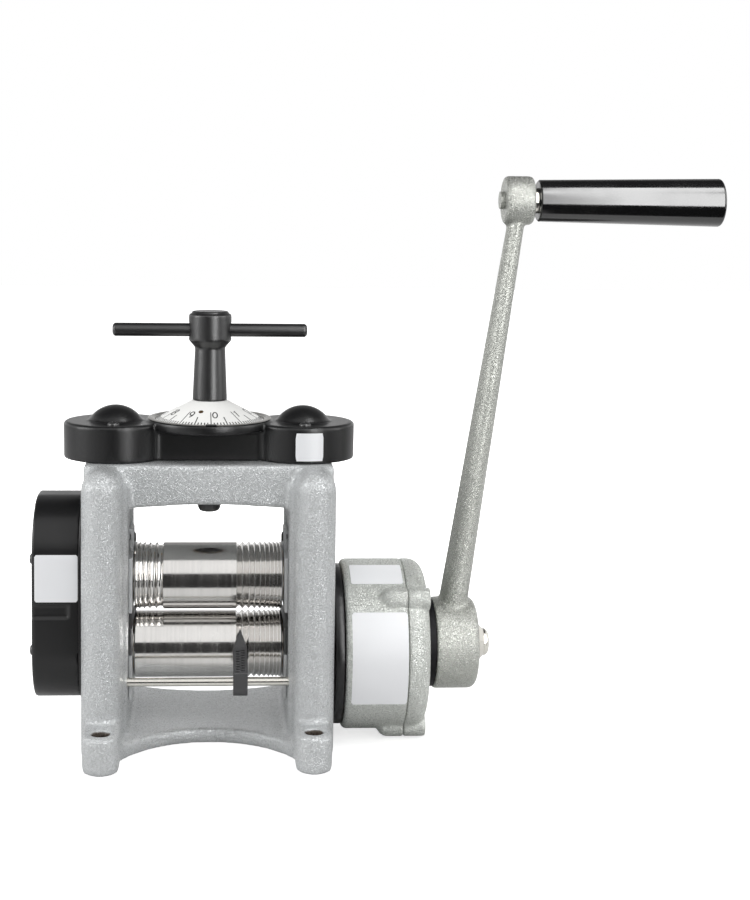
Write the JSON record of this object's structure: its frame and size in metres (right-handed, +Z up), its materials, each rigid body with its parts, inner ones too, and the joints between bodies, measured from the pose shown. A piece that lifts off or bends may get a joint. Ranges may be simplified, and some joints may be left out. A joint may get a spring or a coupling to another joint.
{
  "type": "jewellers rolling mill",
  "caption": "Hand cranked rolling mill for jewellery metal, with grooved steel rolls, a geared screw-down cap with a numbered dial and T-handle, and a planetary gearbox.",
  "frame": {"origin": "middle of the four foot bolt holes, on the bench face under the feet", "axes": "+X along the rolls towards the crank, +Y through the roll gap away from the operator, +Z up"},
  "size_m": [0.5131, 0.21, 0.4202],
  "materials": {
    "frame_hammertone": "light silver hammertone paint on cast iron",
    "case_hammertone": "grey-green silver hammertone paint on cast iron",
    "black_coat": "satin black powder coat",
    "black_steel": "satin black oxide steel",
    "roll_steel": "ground and polished hardened steel",
    "gear_steel": "machined steel",
    "bright_steel": "bright plated steel",
    "chock_iron": "dark machined cast iron",
    "bronze": "bearing bronze",
    "dial_white": "white enamel with black numbers",
    "guide_plastic": "dark grey moulded plastic",
    "grip_plastic": "gloss black plastic",
    "seal_rubber": "black nitrile rubber"
  },
  "bodies": {
    "frame": {"frame_casting": "frame_hammertone", "gear_cap": "black_coat", "cap_plate": "black_coat", "cap_screws": "black_steel", "screw_bushes": "bronze", "centre_bush": "bronze", "idler_pins": "gear_steel", "lower_chock_left": "chock_iron", "lower_chock_right": "chock_iron", "lower_bushes": "bronze", "lift_springs": "gear_steel", "gear_cover": "black_coat", "gear_cover_plate": "black_coat", "cover_screws": "black_steel", "adapter_plate": "black_coat", "gearbox_body": "case_hammertone", "gearbox_cover": "case_hammertone", "gearbox_screws": "black_steel", "ring_gear": "gear_steel", "shaft_bearing": "bright_steel", "oil_seal": "seal_rubber"},
    "carriage": {"upper_chock_left": "chock_iron", "upper_chock_right": "chock_iron", "upper_bushes": "bronze", "chock_screws": "black_steel"},
    "upper_roll": {"upper_roll": "roll_steel", "upper_roll_gear": "gear_steel", "upper_gear_retainer": "gear_steel"},
    "lower_roll": {"lower_roll": "roll_steel", "lower_roll_gear": "gear_steel", "lower_gear_retainer": "gear_steel", "planet_carrier": "gear_steel", "planet_pins": "gear_steel"},
    "planet_1": {"planet_gear_1": "gear_steel"},
    "planet_2": {"planet_gear_2": "gear_steel"},
    "planet_3": {"planet_gear_3": "gear_steel"},
    "crank": {"crank_shaft": "gear_steel", "sun_gear": "gear_steel", "crank_arm": "case_hammertone", "crank_washer": "bright_steel", "crank_bolt": "bright_steel", "grip_pin": "bright_steel", "grip_washer": "bright_steel"},
    "grip": {"grip": "grip_plastic"},
    "t_handle": {"t_handle_hub": "black_steel", "t_bar": "black_steel", "dial": "dial_white", "centre_shaft": "gear_steel", "centre_gear": "gear_steel", "shaft_nut": "black_steel"},
    "idler_left": {"idler_gear_left": "gear_steel"},
    "idler_right": {"idler_gear_right": "gear_steel"},
    "screw_left": {"pressure_screw_left": "gear_steel", "spindle_gear_left": "gear_steel"},
    "screw_right": {"pressure_screw_right": "gear_steel", "spindle_gear_right": "gear_steel"},
    "guide_rod": {"guide_rod": "bright_steel"},
    "wire_guide": {"wire_guide": "guide_plastic"}
  },
  "joints": [
    {"name": "crank_spin", "type": "hinge", "parent": "frame", "child": "crank", "pos_m": [0.18, 0, 0.065], "axis": [1, 0, 0], "continuous": true},
    {"name": "lower_roll_spin", "type": "hinge", "parent": "frame", "child": "lower_roll", "pos_m": [0, 0, 0.065], "axis": [1, 0, 0], "continuous": true},
    {"name": "upper_roll_spin", "type": "hinge", "parent": "carriage", "child": "upper_roll", "pos_m": [0, 0, 0.1176], "axis": [1, 0, 0], "continuous": true},
    {"name": "planet_1_spin", "type": "hinge", "parent": "lower_roll", "child": "planet_1", "pos_m": [0.13, 0, 0.095], "axis": [1, 0, 0], "continuous": true},
    {"name": "planet_2_spin", "type": "hinge", "parent": "lower_roll", "child": "planet_2", "pos_m": [0.13, -0.02598, 0.05], "axis": [1, 0, 0], "continuous": true},
    {"name": "planet_3_spin", "type": "hinge", "parent": "lower_roll", "child": "planet_3", "pos_m": [0.13, 0.02598, 0.05], "axis": [1, 0, 0], "continuous": true},
    {"name": "grip_spin", "type": "hinge", "parent": "crank", "child": "grip", "pos_m": [0.31, 0, 0.402], "axis": [1, 0, 0], "continuous": true},
    {"name": "t_handle_turn", "type": "hinge", "parent": "frame", "child": "t_handle", "pos_m": [0, 0, 0.246], "axis": [0, 0, 1], "range_deg": [-864, 792]},
    {"name": "carriage_lift", "type": "slide", "parent": "frame", "child": "carriage", "axis": [0, 0, 1], "range_m": [-0.00241, 0.00221], "deforming": ["lift_springs"]},
    {"name": "idler_left_turn", "type": "hinge", "parent": "frame", "child": "idler_left", "pos_m": [-0.027, 0, 0.22], "axis": [0, 0, 1], "range_deg": [-1153, 1258]},
    {"name": "idler_right_turn", "type": "hinge", "parent": "frame", "child": "idler_right", "pos_m": [0.027, 0, 0.22], "axis": [0, 0, 1], "range_deg": [-1153, 1258]},
    {"name": "screw_left_turn", "type": "hinge", "parent": "carriage", "child": "screw_left", "pos_m": [-0.07, 0, 0.186], "axis": [0, 0, 1], "range_deg": [-433, 397]},
    {"name": "screw_right_turn", "type": "hinge", "parent": "carriage", "child": "screw_right", "pos_m": [0.07, 0, 0.186], "axis": [0, 0, 1], "range_deg": [-433, 397]},
    {"name": "guide_rod_tilt", "type": "hinge", "parent": "frame", "child": "guide_rod", "pos_m": [0, -0.045, 0.049], "axis": [1, 0, 0], "range_deg": [0, 70]},
    {"name": "wire_guide_slide", "type": "slide", "parent": "guide_rod", "child": "wire_guide", "axis": [1, 0, 0], "range_m": [-0.0738, 0.0266]}
  ],
  "couplings": [
    {"joint": "lower_roll_spin", "follows": "crank_spin", "ratio": 0.2},
    {"joint": "upper_roll_spin", "follows": "crank_spin", "ratio": -0.2},
    {"joint": "planet_1_spin", "follows": "crank_spin", "ratio": -0.53333},
    {"joint": "planet_2_spin", "follows": "crank_spin", "ratio": -0.53333},
    {"joint": "planet_3_spin", "follows": "crank_spin", "ratio": -0.53333},
    {"joint": "carriage_lift", "follows": "t_handle_turn", "m_per_rad": 0.00015915},
    {"joint": "idler_left_turn", "follows": "t_handle_turn", "ratio": -1.4545},
    {"joint": "idler_right_turn", "follows": "t_handle_turn", "ratio": -1.4545},
    {"joint": "screw_left_turn", "follows": "t_handle_turn", "ratio": 0.5},
    {"joint": "screw_right_turn", "follows": "t_handle_turn", "ratio": 0.5}
  ]
}
